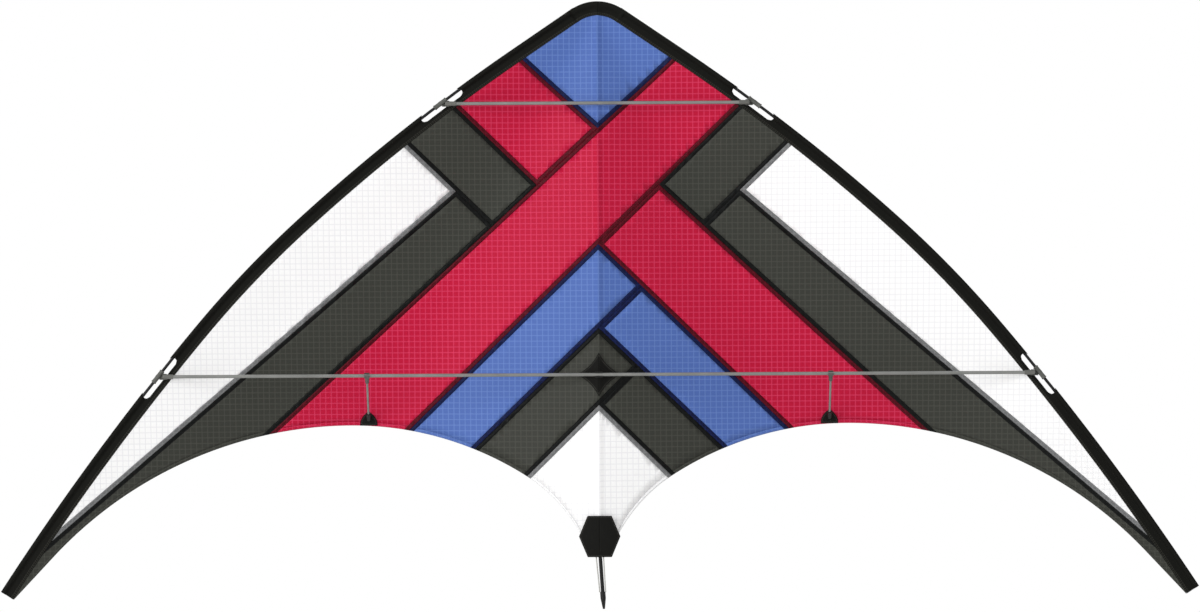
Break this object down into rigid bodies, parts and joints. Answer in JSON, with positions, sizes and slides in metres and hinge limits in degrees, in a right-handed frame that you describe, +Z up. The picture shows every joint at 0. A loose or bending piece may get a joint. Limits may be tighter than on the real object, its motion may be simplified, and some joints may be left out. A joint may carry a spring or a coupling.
{
  "type": "kite",
  "caption": "Two-line delta stunt kite rigged for flight: a woven-band ripstop sail on a bowed rod frame, with spreaders, standoffs and folding wings.",
  "frame": {"origin": "where the lower spreader crosses the spine, at the rod's line on the leading edges' plane", "axes": "+Z up to the nose, +X to the kite's right wing as seen from the flier, +Y downwind to the back of the sail"},
  "size_m": [1.6014, 0.0939, 0.8129],
  "materials": {
    "carbon_rod": "glossy",
    "grey_rod": "satin",
    "black_webbing": "woven",
    "moulded_grey": "satin",
    "moulded_black": "matte",
    "vinyl": "satin",
    "blue_cloth": "ripstop",
    "red_cloth": "ripstop",
    "charcoal_cloth": "ripstop",
    "white_cloth": "ripstop",
    "elastic_cord": "braided"
  },
  "bodies": {
    "spine": {"spine_rod": "carbon_rod", "nose_cap": "black_webbing", "upper_spine_pocket": "black_webbing", "lower_spine_pocket": "black_webbing", "centre_clip": "moulded_black", "centre_star_patch": "black_webbing", "tail_patch": "black_webbing", "tail_nock": "moulded_black", "tail_shock_cord": "elastic_cord"},
    "left_wing": {"left_leading_edge_rod": "carbon_rod", "left_tip_plug": "moulded_black", "left_leading_edge_sleeve": "black_webbing", "left_lower_connector": "moulded_grey", "left_upper_connector": "moulded_grey", "left_whisker_patch": "black_webbing", "left_blue_nose_panel": "blue_cloth", "left_red_main_band": "red_cloth", "left_blue_rising_band": "blue_cloth", "left_grey_rising_band": "charcoal_cloth", "left_white_tail_panel": "white_cloth", "left_grey_square": "charcoal_cloth", "left_grey_wing_band": "charcoal_cloth", "left_white_wing_panel": "white_cloth", "left_red_square": "red_cloth"},
    "right_wing": {"right_leading_edge_rod": "carbon_rod", "right_tip_plug": "moulded_black", "right_leading_edge_sleeve": "black_webbing", "right_lower_connector": "moulded_grey", "right_upper_connector": "moulded_grey", "right_whisker_patch": "black_webbing", "right_blue_nose_panel": "blue_cloth", "right_red_main_band": "red_cloth", "right_blue_rising_band": "blue_cloth", "right_grey_rising_band": "charcoal_cloth", "right_white_tail_panel": "white_cloth", "right_grey_square": "charcoal_cloth", "right_grey_wing_band": "charcoal_cloth", "right_white_wing_panel": "white_cloth", "right_red_band": "red_cloth", "right_blue_falling_band": "blue_cloth", "right_grey_falling_band": "charcoal_cloth"},
    "lower_spreader": {"left_lower_spreader": "grey_rod", "right_lower_spreader": "grey_rod", "left_lower_spreader_cap": "vinyl", "right_lower_spreader_cap": "vinyl", "spreader_ferrule": "carbon_rod"},
    "upper_spreader": {"upper_spreader": "grey_rod", "left_upper_spreader_cap": "vinyl", "right_upper_spreader_cap": "vinyl"},
    "left_whisker": {"left_whisker_rod": "grey_rod", "left_whisker_clip": "moulded_grey", "left_whisker_cap": "moulded_black"},
    "right_whisker": {"right_whisker_rod": "grey_rod", "right_whisker_clip": "moulded_grey", "right_whisker_cap": "moulded_black"}
  },
  "joints": [
    {"name": "left_wing_fold", "type": "hinge", "parent": "spine", "child": "left_wing", "pos_m": [0, 0.004, 0], "axis": [0, 0, -1], "range_deg": [0, 68]},
    {"name": "right_wing_fold", "type": "hinge", "parent": "spine", "child": "right_wing", "pos_m": [0, 0.004, 0], "axis": [0, 0, 1], "range_deg": [0, 68]},
    {"name": "lower_spreader_release", "type": "slide", "parent": "spine", "child": "lower_spreader", "axis": [0, -1, 0], "range_m": [0, 0.15]},
    {"name": "upper_spreader_release", "type": "slide", "parent": "spine", "child": "upper_spreader", "axis": [0, -1, 0], "range_m": [0, 0.1]},
    {"name": "left_whisker_swing", "type": "hinge", "parent": "lower_spreader", "child": "left_whisker", "pos_m": [-0.31, -0.0035, 0], "axis": [-1, 0, 0], "range_deg": [0, 120]},
    {"name": "right_whisker_swing", "type": "hinge", "parent": "lower_spreader", "child": "right_whisker", "pos_m": [0.31, -0.0035, 0], "axis": [-1, 0, 0], "range_deg": [0, 120]}
  ]
}
